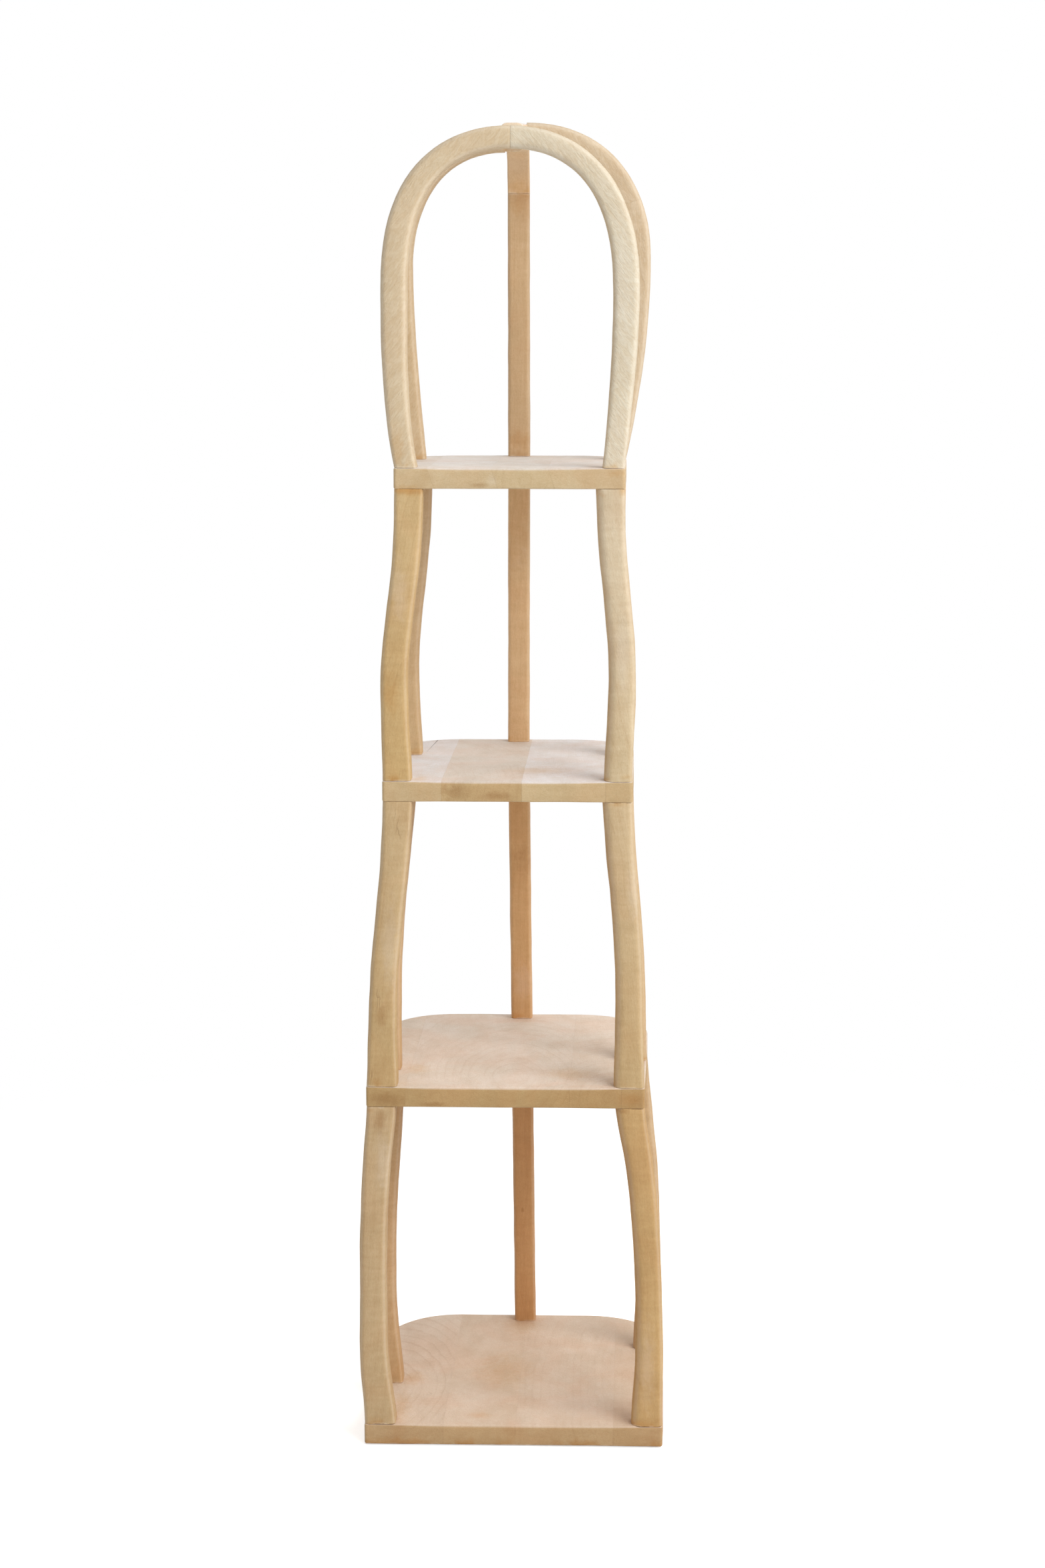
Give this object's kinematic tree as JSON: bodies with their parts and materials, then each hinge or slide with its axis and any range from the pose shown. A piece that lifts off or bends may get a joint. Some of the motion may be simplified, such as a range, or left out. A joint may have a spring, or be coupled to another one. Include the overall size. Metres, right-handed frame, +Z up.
{
  "type": "display shelf",
  "caption": "Tall free-standing wooden display shelf: tapering panels with round back corners on softly curved sawn legs, closed at the top by arches that meet a back post.",
  "frame": {"origin": "centre of the footprint on the floor, under the middle of the bounding box", "axes": "+Z up, -Y towards the front with the crisp corners, +X to the right seen from the front"},
  "size_m": [0.4185, 0.419, 1.8201],
  "materials": {
    "shelf_wood": "waxed, matt, pale pinkish end-jointed boards",
    "leg_wood": "waxed, matt, pale tan",
    "post_wood": "waxed, matt, darker tan",
    "arch_wood": "waxed, matt, pale cream",
    "dowel_wood": "bare, matt",
    "felt": "dark felt"
  },
  "bodies": {
    "root": {"bottom_shelf": "shelf_wood", "crown_back_post": "post_wood", "dowel_bottom_shelf_back": "dowel_wood", "dowel_bottom_shelf_front_left": "dowel_wood", "dowel_bottom_shelf_front_right": "dowel_wood", "dowel_bottom_shelf_over_left": "dowel_wood", "dowel_bottom_shelf_over_right": "dowel_wood", "dowel_front_crown": "dowel_wood", "dowel_rafter_back": "dowel_wood", "dowel_rafter_front": "dowel_wood", "dowel_second_shelf_back": "dowel_wood", "dowel_second_shelf_front_left": "dowel_wood", "dowel_second_shelf_front_right": "dowel_wood", "dowel_second_shelf_over_left": "dowel_wood", "dowel_second_shelf_over_right": "dowel_wood", "dowel_second_shelf_under_left": "dowel_wood", "dowel_second_shelf_under_right": "dowel_wood", "dowel_shoulder": "dowel_wood", "dowel_side_crown": "dowel_wood", "dowel_third_shelf_back": "dowel_wood", "dowel_third_shelf_front_left": "dowel_wood", "dowel_third_shelf_front_right": "dowel_wood", "dowel_third_shelf_over_left": "dowel_wood", "dowel_third_shelf_over_right": "dowel_wood", "dowel_third_shelf_under_left": "dowel_wood", "dowel_third_shelf_under_right": "dowel_wood", "dowel_top_shelf_back": "dowel_wood", "dowel_top_shelf_front_left": "dowel_wood", "dowel_top_shelf_front_right": "dowel_wood", "dowel_top_shelf_side_left": "dowel_wood", "dowel_top_shelf_side_right": "dowel_wood", "front_arch_left": "arch_wood", "front_arch_right": "arch_wood", "glide_back_left": "felt", "glide_back_right": "felt", "glide_front_left": "felt", "glide_front_right": "felt", "lower_back_post": "post_wood", "lower_front_left_leg": "leg_wood", "lower_front_right_leg": "leg_wood", "lower_side_left_leg": "leg_wood", "lower_side_right_leg": "leg_wood", "middle_back_post": "post_wood", "middle_front_left_leg": "leg_wood", "middle_front_right_leg": "leg_wood", "middle_side_left_leg": "leg_wood", "middle_side_right_leg": "leg_wood", "rafter": "post_wood", "second_shelf": "shelf_wood", "side_arch_left": "arch_wood", "side_arch_right_crook": "arch_wood", "side_arch_right_leg": "arch_wood", "third_shelf": "shelf_wood", "top_shelf": "shelf_wood", "upper_back_post": "post_wood", "upper_front_left_leg": "leg_wood", "upper_front_right_leg": "leg_wood", "upper_side_left_leg": "leg_wood", "upper_side_right_leg": "leg_wood"}
  },
  "joints": []
}
